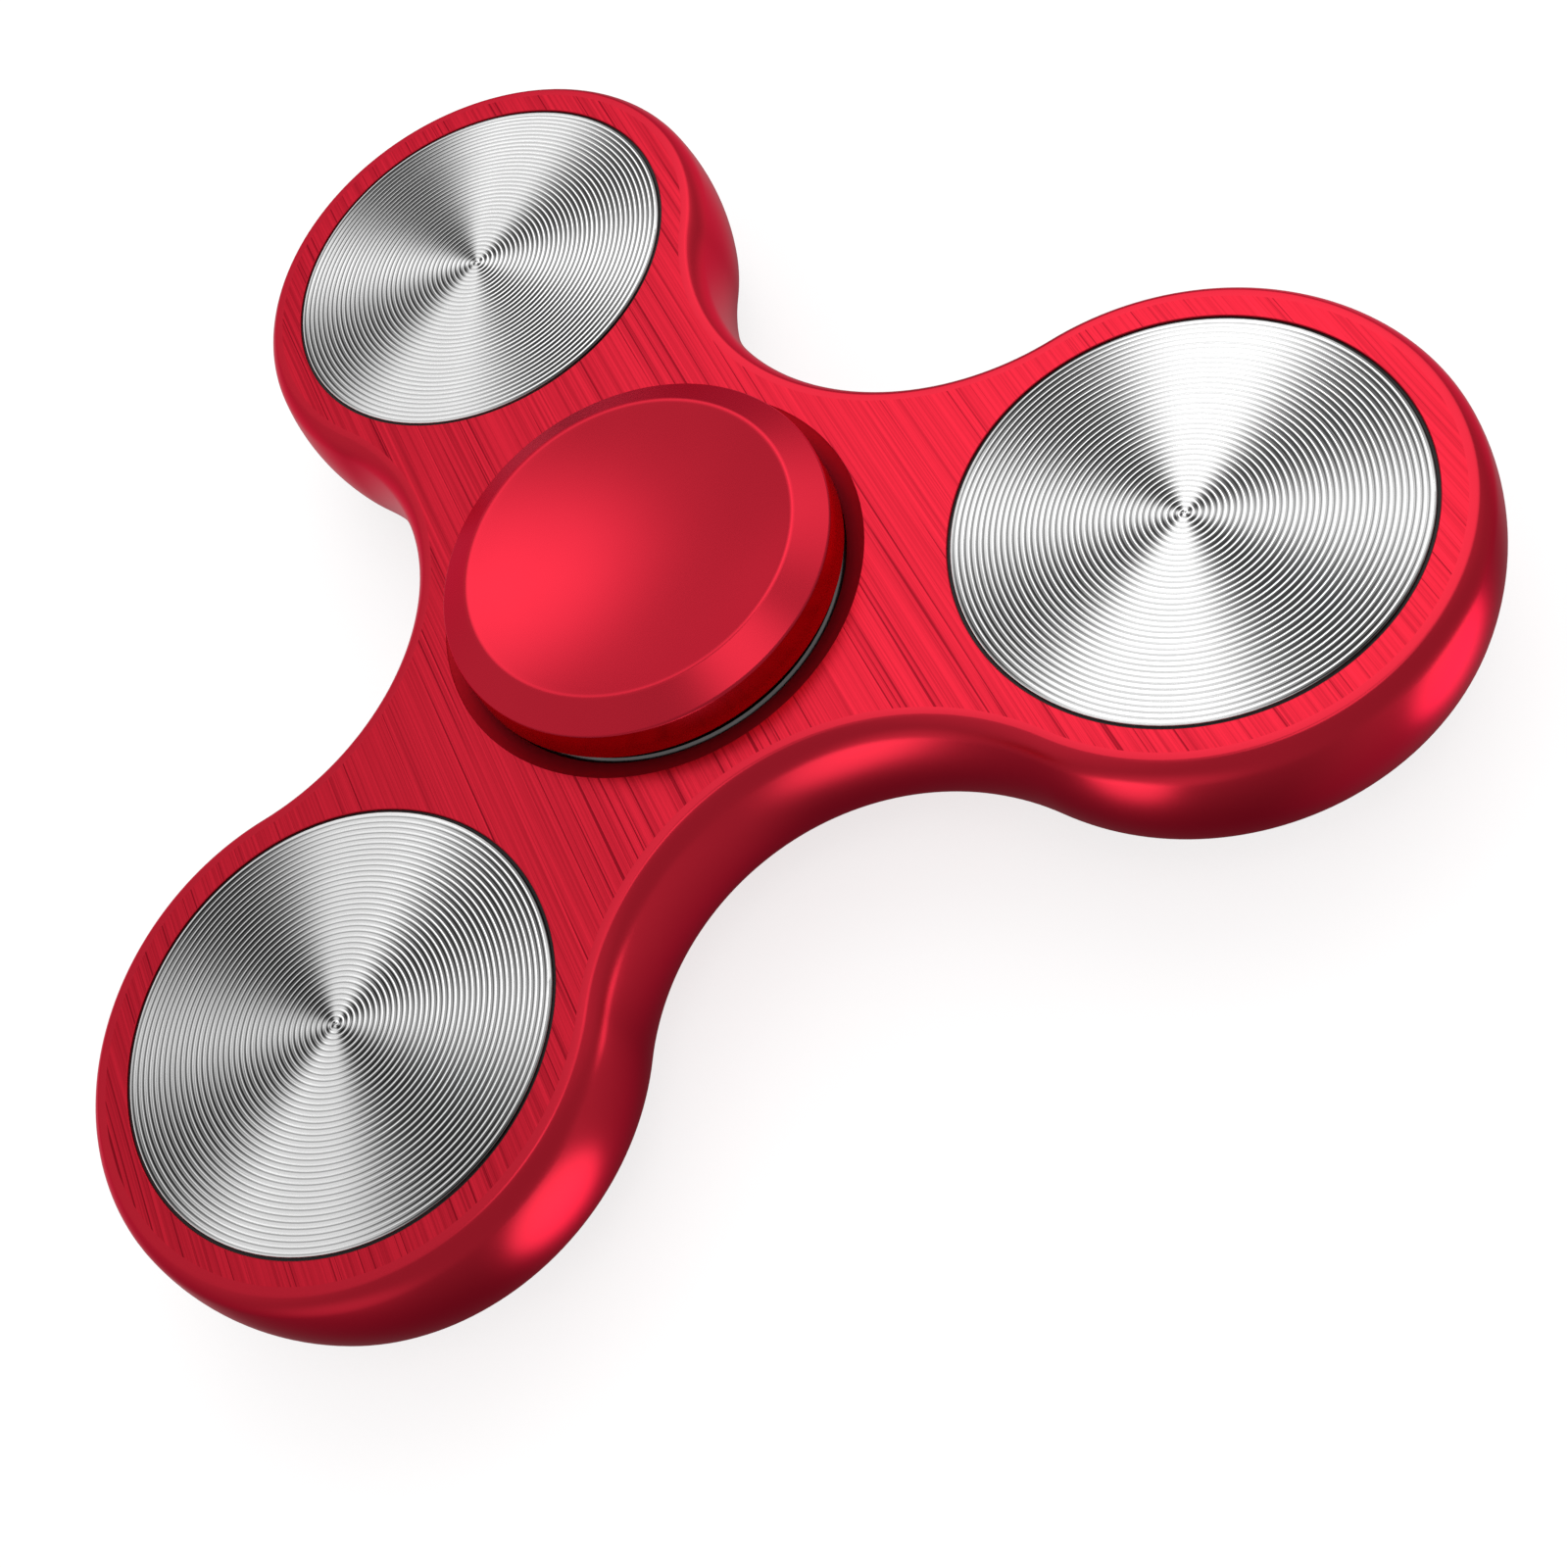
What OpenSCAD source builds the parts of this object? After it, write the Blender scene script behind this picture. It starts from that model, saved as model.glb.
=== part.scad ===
// Three-armed fidget spinner: an aluminium body that turns on a 22 x 8 x 7 mm ball bearing, held
// between two screwed finger caps, with a steel weight and two turned face discs in every lobe.
// Millimetres. The origin is on the spin axis at the middle of the body's thickness,
// +Z runs up the spin axis and +X runs along arm 1; arms 2 and 3 follow at 120 degrees.

/* [Body] */
// Distance from the spin axis to the middle of each lobe
arm_radius = 28.7; // [27.5:0.1:36]
// Thickness of the body between its two flat faces
body_thickness = 7.9; // [7.5:0.1:10]
// Width of the flat rim between a disc recess and the edge of the face
rim_width = 1.65; // [1:0.05:3]
// Width of the flat face between the hub pocket and the neck
neck_wall = 1.75; // [1:0.05:3]
// How far the rounded side stands out past the edge of the face
side_bulge = 1.17; // [0.9:0.01:1.4]
// Radius of the long arc down the middle of the side
side_radius = 12; // [10:0.5:16]
// Radius of the short arc that turns the side in to the face
shoulder_radius = 2; // [1.6:0.1:2.4]

/* [Hub pocket] */
// How much wider the pocket is at the face than the bearing seat
pocket_flare = 1.1; // [0.6:0.1:1.4]

/* [Lobe discs] */
// Radius of the turned face discs
disc_radius = 12; // [9:0.1:12.4]
// Thickness of a face disc
disc_thickness = 0.8; // [0.5:0.1:1.2]
// Depth of the chamfer on the front edge of a disc
disc_chamfer = 0.1; // [0.05:0.05:0.2]
// Gap between a disc and the wall of its recess
disc_gap = 0.2; // [0.1:0.05:0.4]
// Thickness of the adhesive under a disc
glue_film = 0.1; // [0.05:0.05:0.2]
// How far the adhesive round a disc stays below the face
glue_step = 0.15; // [0.05:0.05:0.3]

/* [Weights] */
// Radius of the steel weight inside each lobe
weight_radius = 7.5; // [5:0.1:9]
// Chamfer on both ends of a weight
weight_chamfer = 0.3; // [0.1:0.1:0.6]

/* [Bearing] */
// Outside diameter of the bearing
bearing_diameter = 22; // [21.6:0.1:22.4]
// Bore of the bearing
bearing_bore = 8; // [7.6:0.1:8.4]
// Width of the bearing
bearing_width = 7; // [6.8:0.1:7.4]
// Corner chamfer of both rings
race_chamfer = 0.3; // [0.1:0.05:0.4]
// Diameter of the circle through the middles of the balls
ball_pitch_diameter = 15; // [14.8:0.1:15.2]
// Diameter of a ball
ball_diameter = 3.969; // [3.6:0.001:4]
// Gap between a ball and the grooves that it rolls in
groove_gap = 0.05; // [0.03:0.01:0.08]
// Gap between a ball and its pocket in the cage
cage_gap = 0.07; // [0.05:0.01:0.12]
// Radial width of the cage
cage_width = 1.6; // [1.2:0.1:1.8]
// Thickness of a seal
seal_thickness = 0.6; // [0.4:0.05:0.7]
// How far a seal lies below the side of the rings
seal_inset = 0.3; // [0.2:0.05:0.35]
// Gap between a seal's lip and the inner ring
seal_lip_gap = 0.1; // [0.05:0.01:0.2]

/* [Finger caps] */
// Radius of a cap at its lower edge
cap_radius = 11.13; // [9.6:0.01:11.6]
// How much narrower the wall of a cap is at its top
cap_draft = 0.09; // [0:0.01:0.2]
// Height of a cap's rim above the face of the body
cap_height = 3.41; // [2.8:0.01:4.5]
// Running gap between a cap and the face of the body
cap_clearance = 0.24; // [0.15:0.01:0.5]
// Fall of the sloping band from the rim to the wall
bevel_drop = 0.96; // [0.6:0.01:1.4]
// Radius of the hollow for the finger
dish_radius = 9.13; // [7:0.01:9.2]
// Depth of the hollow for the finger
dish_depth = 1.3; // [0.6:0.1:1.6]
// Width of the flat rim round the hollow
land_width = 0.2; // [0.1:0.05:0.3]
// Chamfer on the lower edge of a cap
cap_chamfer = 0.15; // [0.05:0.05:0.3]
// Radius of the collar that clamps the inner ring
collar_radius = 5.3; // [4.6:0.1:5.6]
// Radial gap between a cap's stem and the bore of the bearing
stem_gap = 0.02; // [0.01:0.01:0.05]
// Outside diameter of the screw on the lower cap
screw_diameter = 5; // [4:0.5:6]
// Pitch of the screw's thread
screw_pitch = 0.8; // [0.5:0.1:1]
// Radial gap between the screw and its hole
screw_gap = 0.02; // [0.01:0.01:0.05]
// Length of the screw above the lower cap's stem
screw_length = 3.6; // [2.4:0.1:4.2]

/* [Hidden] */
$fn = 96;

arm_count = 3;
arm_step = 360 / arm_count;
ball_count = 7;
ball_step = 360 / ball_count;
// How far a cutting tool runs past the surface that it opens
overrun = 1;

// Body outline: three round lobes joined by three hollow webs that meet them without a corner.
half_body = body_thickness / 2;
seat_radius = bearing_diameter / 2;
pocket_radius = seat_radius + pocket_flare;
recess_radius = disc_radius + disc_gap;
recess_depth = disc_thickness + glue_film;
lobe_radius = recess_radius + rim_width;
neck_radius = pocket_radius + neck_wall;
// The web arc's centre lies between two arms; its radius makes it touch both lobes.
web_radius = (lobe_radius^2 - arm_radius^2 - neck_radius^2 + arm_radius * neck_radius)
    / (2 * neck_radius - arm_radius - 2 * lobe_radius);
web_distance = neck_radius + web_radius;

// Side profile: a long arc down the middle and a shoulder arc that passes through the face's edge.
// The shoulder arc crosses the long arc by this much, so that the two meet at a true corner.
arc_overlap = 0.02;
side_centre = side_radius - side_bulge;
shoulder_reach = side_radius - shoulder_radius + arc_overlap;
edge_distance = sqrt(side_centre^2 + half_body^2);
shoulder_angle = atan2(half_body, side_centre)
    - acos((edge_distance^2 + shoulder_reach^2 - shoulder_radius^2)
        / (2 * shoulder_reach * edge_distance));
shoulder_height = side_radius * sin(shoulder_angle);
shoulder_inset = side_centre - shoulder_reach * cos(shoulder_angle);
// The lobes are turned this much smaller, so that they never graze the webs beside them.
lobe_relief = 0.01;

// Bearing
half_bearing = bearing_width / 2;
ball_radius = ball_diameter / 2;
pitch_radius = ball_pitch_diameter / 2;
groove_radius = ball_radius + groove_gap;
// The rings stop this far short of the pitch circle, as a share of the ball's radius.
land_share = 0.73;
inner_land = pitch_radius - land_share * ball_radius;
outer_land = pitch_radius + land_share * ball_radius;
// Depth of the groove in the outer ring that a seal snaps into
seal_step = 0.5;
seal_radius = outer_land + seal_step;
seal_outer_z = half_bearing - seal_inset;
seal_inner_z = seal_outer_z - seal_thickness;
seal_lip_radius = inner_land + seal_lip_gap;
cage_end_gap = 0.15;
cage_bottom = -(seal_inner_z - cage_end_gap);
// The cage's fingers reach this far past the balls' middles, as a share of the ball's radius.
cage_share = 0.42;
cage_top = cage_share * ball_radius;

// Caps
cap_top_z = half_body + cap_height;
cap_under_z = half_body + cap_clearance;
bevel_z = cap_top_z - bevel_drop;
cap_wall_top = cap_radius - cap_draft;
dish_sphere = (dish_radius^2 + dish_depth^2) / (2 * dish_depth);
stem_radius = bearing_bore / 2 - stem_gap;
// The two stems stop this far short of the middle of the bearing.
stem_end_gap = 0.15;
screw_radius = screw_diameter / 2;
// Depth of a metric thread, and the start and end of its crest, as shares of the pitch
thread_share = 0.61;
crest_start = 0.4;
crest_end = 0.6;
screw_root = screw_radius - thread_share * screw_pitch;
screw_end = screw_length - stem_end_gap;
screw_turns = floor(screw_length / screw_pitch) - 1;
screw_hole_radius = screw_radius + screw_gap;
screw_hole_room = 0.4;

// The rounded side in section, standing out to +x, where x = 0 is the edge of the body's face.
module side_section() {
    intersection() {
        translate([-side_centre, 0])
            circle(r = side_radius);
        union() {
            translate([-side_centre, -shoulder_height])
                square([side_radius + overrun, 2 * shoulder_height]);
            translate([-side_centre, -half_body - overrun])
                square([side_centre - shoulder_inset, body_thickness + 2 * overrun]);
            for (side = [0, 1])
                mirror([0, side])
                    translate([-shoulder_inset, shoulder_reach * sin(shoulder_angle)])
                        circle(r = shoulder_radius);
        }
    }
}

// One lobe as a round plate with the rounded side all the way round it, still too thick.
module lobe_blank() {
    translate([arm_radius, 0, 0])
        rotate_extrude()
            intersection() {
                translate([0, -half_body - overrun])
                    square([lobe_radius + side_bulge + overrun, body_thickness + 2 * overrun]);
                translate([lobe_radius - lobe_relief, 0])
                    side_section();
            }
}

// The tool that cuts one hollow web, with the body's rounded side left standing.
module web_cutter() {
    rotate([0, 0, arm_step / 2])
        translate([web_distance, 0, 0])
            rotate_extrude()
                difference() {
                    translate([0, -half_body - overrun])
                        square([web_radius + shoulder_inset / 2, body_thickness + 2 * overrun]);
                    translate([web_radius, 0])
                        mirror([1, 0])
                            side_section();
                }
}

// The tool that opens the bearing seat and the flared pocket above and below it.
module hub_cutter() {
    rotate_extrude()
        polygon([
            [0, -half_body - overrun],
            [pocket_radius, -half_body - overrun],
            [pocket_radius, -half_body],
            [seat_radius, -half_bearing],
            [seat_radius, half_bearing],
            [pocket_radius, half_body],
            [pocket_radius, half_body + overrun],
            [0, half_body + overrun]
        ]);
}

// The tool that opens one lobe: a disc recess in each face and the weight's bore between them.
module lobe_cutter() {
    translate([arm_radius, 0, 0]) {
        for (side = [0, 1])
            mirror([0, 0, side])
                translate([0, 0, half_body - recess_depth])
                    cylinder(r = recess_radius, h = recess_depth + overrun);
        cylinder(r = weight_radius, h = body_thickness, center = true);
    }
}

// The middle of the body: a six-sided plate from the lobes' middles to the webs' centres,
// hollowed by the three webs, and still too thick.
module middle_blank() {
    difference() {
        translate([0, 0, -half_body - overrun / 2])
            linear_extrude(body_thickness + overrun)
                polygon([
                    for (i = [0 : 2 * arm_count - 1])
                        (i % 2 == 0 ? arm_radius : web_distance)
                            * [cos(i * arm_step / 2), sin(i * arm_step / 2)]
                ]);
        for (i = [0 : arm_count - 1])
            rotate([0, 0, i * arm_step])
                web_cutter();
    }
}

module body_frame() {
    blank_size = 2 * (arm_radius + lobe_radius + side_bulge + overrun);
    color("crimson")
        difference() {
            intersection() {
                union() {
                    middle_blank();
                    for (i = [0 : arm_count - 1])
                        rotate([0, 0, i * arm_step])
                            lobe_blank();
                }
                cube([blank_size, blank_size, body_thickness], center = true);
            }
            hub_cutter();
            for (i = [0 : arm_count - 1])
                rotate([0, 0, i * arm_step])
                    lobe_cutter();
        }
}

// Steel slug pressed through the lobe, flush with the floors of the two disc recesses.
module weight(arm) {
    half_weight = half_body - recess_depth;
    color("dimgray")
        rotate([0, 0, (arm - 1) * arm_step])
            translate([arm_radius, 0, 0])
                rotate_extrude()
                    polygon([
                        [0, -half_weight],
                        [weight_radius - weight_chamfer, -half_weight],
                        [weight_radius, -half_weight + weight_chamfer],
                        [weight_radius, half_weight - weight_chamfer],
                        [weight_radius - weight_chamfer, half_weight],
                        [0, half_weight]
                    ]);
}

// Puts a lobe piece drawn for the top face at its arm, or upside down for the bottom face.
module at_lobe(arm, side) {
    rotate([0, 0, (arm - 1) * arm_step])
        mirror([0, 0, side])
            translate([arm_radius, 0, 0])
                children();
}

// Turned plate that closes the lobe, flush with the face.
module face_disc(arm, side) {
    color("silver")
        at_lobe(arm, side)
            rotate_extrude()
                polygon([
                    [0, half_body - disc_thickness],
                    [disc_radius, half_body - disc_thickness],
                    [disc_radius, half_body - disc_chamfer],
                    [disc_radius - disc_chamfer, half_body],
                    [0, half_body]
                ]);
}

// Black adhesive: a film on the recess floor that has risen into the gap round the disc.
module adhesive(arm, side) {
    floor_z = half_body - recess_depth;
    color("black")
        at_lobe(arm, side)
            rotate_extrude()
                polygon([
                    [0, floor_z],
                    [recess_radius, floor_z],
                    [recess_radius, half_body - glue_step],
                    [disc_radius, half_body - glue_step],
                    [disc_radius, floor_z + glue_film],
                    [0, floor_z + glue_film]
                ]);
}

module bearing_inner_race() {
    bore_radius = bearing_bore / 2;
    color("gainsboro")
        rotate_extrude()
            difference() {
                polygon([
                    [bore_radius, -half_bearing + race_chamfer],
                    [bore_radius + race_chamfer, -half_bearing],
                    [inner_land, -half_bearing],
                    [inner_land, half_bearing],
                    [bore_radius + race_chamfer, half_bearing],
                    [bore_radius, half_bearing - race_chamfer]
                ]);
                translate([pitch_radius, 0])
                    circle(r = groove_radius);
            }
}

module bearing_outer_race() {
    color("gainsboro")
        rotate_extrude()
            difference() {
                polygon([
                    [outer_land, -seal_inner_z],
                    [seal_radius, -seal_inner_z],
                    [seal_radius, -half_bearing],
                    [seat_radius - race_chamfer, -half_bearing],
                    [seat_radius, -half_bearing + race_chamfer],
                    [seat_radius, half_bearing - race_chamfer],
                    [seat_radius - race_chamfer, half_bearing],
                    [seal_radius, half_bearing],
                    [seal_radius, seal_inner_z],
                    [outer_land, seal_inner_z]
                ]);
                translate([pitch_radius, 0])
                    circle(r = groove_radius);
            }
}

// Snap-in crown cage: its pockets reach past the middle of the balls and hold them.
module bearing_cage() {
    color("ivory")
        difference() {
            translate([0, 0, cage_bottom])
                rotate_extrude()
                    translate([pitch_radius - cage_width / 2, 0])
                        square([cage_width, cage_top - cage_bottom]);
            for (i = [0 : ball_count - 1])
                rotate([0, 0, i * ball_step])
                    translate([pitch_radius, 0, 0])
                        sphere(r = ball_radius + cage_gap);
        }
}

module ball(index) {
    color("lightgray")
        rotate([0, 0, (index - 1) * ball_step])
            translate([pitch_radius, 0, 0])
                sphere(r = ball_radius);
}

// Rubber seal snapped into the outer ring, with a lip that runs clear of the inner ring.
module bearing_seal(side) {
    lip_width = 0.5;
    lip_step = 0.15;
    color("dimgray")
        mirror([0, 0, side])
            rotate_extrude()
                polygon([
                    [seal_lip_radius, seal_inner_z],
                    [seal_radius, seal_inner_z],
                    [seal_radius, seal_outer_z],
                    [seal_lip_radius + lip_width, seal_outer_z],
                    [seal_lip_radius + lip_width, seal_outer_z - lip_step],
                    [seal_lip_radius, seal_outer_z - lip_step]
                ]);
}

// Upper half of a finger cap in section, from the stem that enters the bearing to the rim.
module cap_section() {
    difference() {
        polygon([
            [0, stem_end_gap],
            [stem_radius, stem_end_gap],
            [stem_radius, half_bearing],
            [collar_radius, half_bearing],
            [collar_radius, cap_under_z],
            [cap_radius - cap_chamfer, cap_under_z],
            [cap_radius, cap_under_z + cap_chamfer],
            [cap_wall_top, bevel_z],
            [dish_radius + land_width, cap_top_z],
            [0, cap_top_z]
        ]);
        translate([0, cap_top_z - dish_depth + dish_sphere])
            circle(r = dish_sphere);
    }
}

module top_cap() {
    color("red")
        difference() {
            rotate_extrude()
                cap_section();
            translate([0, 0, -overrun])
                cylinder(r = screw_hole_radius, h = screw_end + screw_hole_room + overrun);
        }
}

module bottom_cap() {
    first_turn = screw_end - screw_turns * screw_pitch;
    color("red")
        union() {
            mirror([0, 0, 1])
                rotate_extrude()
                    cap_section();
            rotate_extrude()
                polygon([
                    [0, -half_bearing],
                    [screw_root, -half_bearing],
                    for (i = [0 : screw_turns - 1])
                        each [
                            [screw_root, first_turn + i * screw_pitch],
                            [screw_radius, first_turn + (i + crest_start) * screw_pitch],
                            [screw_radius, first_turn + (i + crest_end) * screw_pitch]
                        ],
                    [screw_root, screw_end],
                    [0, screw_end]
                ]);
        }
}

top_cap();
bottom_cap();
bearing_inner_race();
bearing_outer_race();
bearing_cage();
for (i = [1 : ball_count])
    ball(i);
bearing_seal(0);  // bearing_seal_top
bearing_seal(1);  // bearing_seal_bottom
body_frame();
for (i = [1 : arm_count]) {
    weight(i);
    face_disc(i, 0);
    face_disc(i, 1);
    adhesive(i, 0);
    adhesive(i, 1);
}
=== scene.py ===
import math

import bmesh
import bpy
from mathutils import Matrix, Vector


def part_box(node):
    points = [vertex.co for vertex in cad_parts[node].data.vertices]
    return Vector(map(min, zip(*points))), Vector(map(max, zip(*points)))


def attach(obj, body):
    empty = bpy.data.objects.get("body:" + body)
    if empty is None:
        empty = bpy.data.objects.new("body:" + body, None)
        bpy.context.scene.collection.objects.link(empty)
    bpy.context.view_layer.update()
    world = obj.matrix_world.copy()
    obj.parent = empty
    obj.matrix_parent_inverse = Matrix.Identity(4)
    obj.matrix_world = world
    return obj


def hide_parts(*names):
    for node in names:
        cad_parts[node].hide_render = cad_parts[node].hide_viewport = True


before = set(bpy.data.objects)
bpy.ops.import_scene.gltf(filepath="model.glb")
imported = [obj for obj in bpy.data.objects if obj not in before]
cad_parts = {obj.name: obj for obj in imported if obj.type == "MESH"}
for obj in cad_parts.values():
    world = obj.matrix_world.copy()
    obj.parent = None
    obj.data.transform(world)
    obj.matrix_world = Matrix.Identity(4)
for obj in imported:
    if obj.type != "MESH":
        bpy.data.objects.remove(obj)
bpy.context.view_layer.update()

# ---------------------------------------------------------------------------------------------
# Camera. The viewer looks down at the spinner from between arms 1 and 3, with the head tilted,
# so that arm 2 points away to the upper left.
# ---------------------------------------------------------------------------------------------
MM = 0.001
CAMERA_PLACE = Vector((42.90, -61.21, 91.71)) * MM
CAMERA_AIM = Vector((8.80, -13.30, 3.95)) * MM
CAMERA_ROLL = math.radians(-35.55)
CAMERA_LENS = 48.86
CAMERA_SENSOR = 36
CAMERA_NEAREST = 5 * MM

camera_data = bpy.data.cameras.new("camera")
camera_data.lens = CAMERA_LENS
camera_data.sensor_width = CAMERA_SENSOR
camera_data.clip_start = CAMERA_NEAREST
camera = bpy.data.objects.new("camera", camera_data)
bpy.context.scene.collection.objects.link(camera)
look = (CAMERA_AIM - CAMERA_PLACE).to_track_quat("-Z", "Y").to_matrix().to_4x4()
camera.matrix_world = Matrix.Translation(CAMERA_PLACE) @ look @ Matrix.Rotation(CAMERA_ROLL, 4, "Z")
bpy.context.scene.camera = camera
bpy.context.scene.view_settings.view_transform = "Standard"

# ---------------------------------------------------------------------------------------------
# Body. One plate of aluminium, milled to three round lobes and three hollow webs, its rounded
# side blasted to a satin, its two faces brushed along arm 2, then the whole anodised red.
# ---------------------------------------------------------------------------------------------
body_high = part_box("body_frame")[1]
race_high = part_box("bearing_outer_race")[1]
disc_low, disc_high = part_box("face_disc_top_1")

ARMS = 3
ARM_STEP = 2 * math.pi / ARMS
ARM_RADIUS = (disc_low.x + disc_high.x) / 2
HALF_BODY = body_high.z
LOBE_RADIUS = 13.84 * MM
SIDE_BULGE = body_high.x - ARM_RADIUS - LOBE_RADIUS
SIDE_RADIUS = 12 * MM
SHOULDER_RADIUS = 2 * MM
EDGE_RADIUS = 0.3 * MM
# Blasting the side has taken in a strip of the face as well, which falls a little to the edge.
EDGE_STRIP = 0.42 * MM
EDGE_DROP = 0.02 * MM
WEB_DISTANCE = ARM_RADIUS
WEB_RADIUS = ARM_RADIUS - LOBE_RADIUS
POCKET_RADIUS = 12.1 * MM
SEAT_RADIUS = race_high.x
HALF_SEAT = race_high.z
RECESS_RADIUS = 12.2 * MM
RECESS_FLOOR = 3.05 * MM
WEIGHT_RADIUS = 7.5 * MM
POCKET_EASE = 0.06 * MM
RECESS_EASE = 0.04 * MM
ROUND_STEPS = 192
OUTLINE_STEP = math.radians(2)
LOBE_HALF_SWEEP = math.radians(120)
WEB_HALF_SWEEP = math.radians(60)
EDGE_STEPS = 5
SIDE_STEPS = 8
FACE_SHARP = 30


class Wire:
    """One socket of a node tree, so that shader maths reads as an expression."""

    def __init__(self, tree, socket=None):
        self.tree = tree
        self.socket = socket

    def node(self, kind, settings=None, inputs=None, output=0):
        """Adds a node, with its settings first and then the values or links of its sockets."""
        made = self.tree.nodes.new(kind)
        for key, value in (settings or {}).items():
            setattr(made, key, value)
        for key, value in (inputs or {}).items():
            if isinstance(value, Wire):
                self.tree.links.new(value.socket, made.inputs[key])
            else:
                made.inputs[key].default_value = value
        return Wire(self.tree, made.outputs[output])

    def math(self, operation, *values):
        return self.node("ShaderNodeMath", {"operation": operation}, dict(enumerate(values)))

    def __add__(self, other):
        return self.math("ADD", self, other)

    def __radd__(self, other):
        return self.math("ADD", other, self)

    def __sub__(self, other):
        return self.math("SUBTRACT", self, other)

    def __rsub__(self, other):
        return self.math("SUBTRACT", other, self)

    def __mul__(self, other):
        return self.math("MULTIPLY", self, other)

    def __rmul__(self, other):
        return self.math("MULTIPLY", other, self)

    def __truediv__(self, other):
        return self.math("DIVIDE", self, other)

    def __rtruediv__(self, other):
        return self.math("DIVIDE", other, self)

    def cosine(self):
        return self.math("COSINE", self)

    def larger(self, other):
        return self.math("MAXIMUM", self, other)

    def fraction(self):
        return self.math("FRACT", self)

    def magnitude(self):
        """The value without its sign."""
        return self.math("ABSOLUTE", self)

    def between(self, low, high):
        """0 below low, 1 above high, and a smooth step from one to the other."""
        return self.node("ShaderNodeMapRange", {"interpolation_type": "SMOOTHSTEP"},
                         {"Value": self, "From Min": low, "From Max": high})

    def blend(self, first, second):
        """The colour first where this value is 0, and second where it is 1."""
        return self.node("ShaderNodeMix", {"data_type": "RGBA"},
                         {"Factor": self, "A": first, "B": second}, "Result")

    def bump(self, distance, strength=1.0):
        return self.node("ShaderNodeBump", None,
                         {"Height": self, "Distance": distance, "Strength": strength}, "Normal")


def finish(name, constants, recipe):
    """A material: constants go on the shader's own sockets, and recipe(wire) gives what varies."""
    material = bpy.data.materials.new(name)
    material.use_nodes = True
    tree = material.node_tree
    shader = tree.nodes["Principled BSDF"]
    for key, value in constants.items():
        shader.inputs[key].default_value = value
    for key, wire in recipe(Wire(tree)).items():
        tree.links.new(wire.socket, shader.inputs[key])
    return material


def place(start):
    """The point on the piece, in its own millimetres."""
    point = start.node("ShaderNodeTexCoord", None, None, "Object")
    return start.node("ShaderNodeVectorMath", {"operation": "SCALE"}, {0: point, "Scale": 1 / MM})


def noise(point, scale, detail=2.0, roughness=0.5):
    """Soft irregular values from 0 to 1, with about scale spots to one unit of the point."""
    return point.node("ShaderNodeTexNoise", None, {
        "Vector": point, "Scale": scale, "Detail": detail, "Roughness": roughness})


def stretched(point, turn, along, across, depth=1.0):
    """The point turned about Z, then scaled unequally: noise read there draws streaks."""
    turned = point.node("ShaderNodeVectorRotate", {"rotation_type": "Z_AXIS"},
                        {"Vector": point, "Angle": -turn})
    return turned.node("ShaderNodeVectorMath", {"operation": "MULTIPLY"},
                       {0: turned, 1: (along, across, depth)})


def arc(centre, radius, first, last, steps):
    """Points of an arc in a section, as (outward, height) pairs."""
    return [(centre[0] + radius * math.cos(first + (last - first) * i / steps),
             centre[1] + radius * math.sin(first + (last - first) * i / steps))
            for i in range(steps + 1)]


def skin(bm, rows, material=0):
    """Joins each closed row of vertices to the next one; a row may be a single vertex."""
    for upper, lower in zip(rows, rows[1:]):
        count = max(len(upper), len(lower))
        for i in range(count):
            j = (i + 1) % count
            if len(upper) == 1:
                corners = (upper[0], lower[i], lower[j])
            elif len(lower) == 1:
                corners = (upper[i], lower[0], upper[j])
            else:
                corners = (upper[i], lower[i], lower[j], upper[j])
            bm.faces.new(corners).material_index = material


def ring(bm, centre, radius, height, steps):
    """A level row of vertices round a centre, or a single vertex where the radius is nothing."""
    if radius == 0:
        return [bm.verts.new((centre[0], centre[1], height))]
    return [bm.verts.new((centre[0] + radius * math.cos(2 * math.pi * i / steps),
                          centre[1] + radius * math.sin(2 * math.pi * i / steps), height))
            for i in range(steps)]


def piece(name, bm, body, node, materials, sharp, where=Matrix()):
    """Makes a mesh into a piece of the spinner that rides on a body and stands for a node."""
    bmesh.ops.recalc_face_normals(bm, faces=bm.faces)
    mesh = bpy.data.meshes.new(name)
    bm.to_mesh(mesh)
    bm.free()
    for material in materials:
        mesh.materials.append(material)
    mesh.shade_smooth()
    mesh.set_sharp_from_angle(angle=math.radians(sharp))
    made = bpy.data.objects.new(name, mesh)
    made.matrix_world = where
    bpy.context.scene.collection.objects.link(made)
    weighted = made.modifiers.new("weighted_normals", "WEIGHTED_NORMAL")
    weighted.keep_sharp = True
    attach(made, body)
    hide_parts(node)


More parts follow.
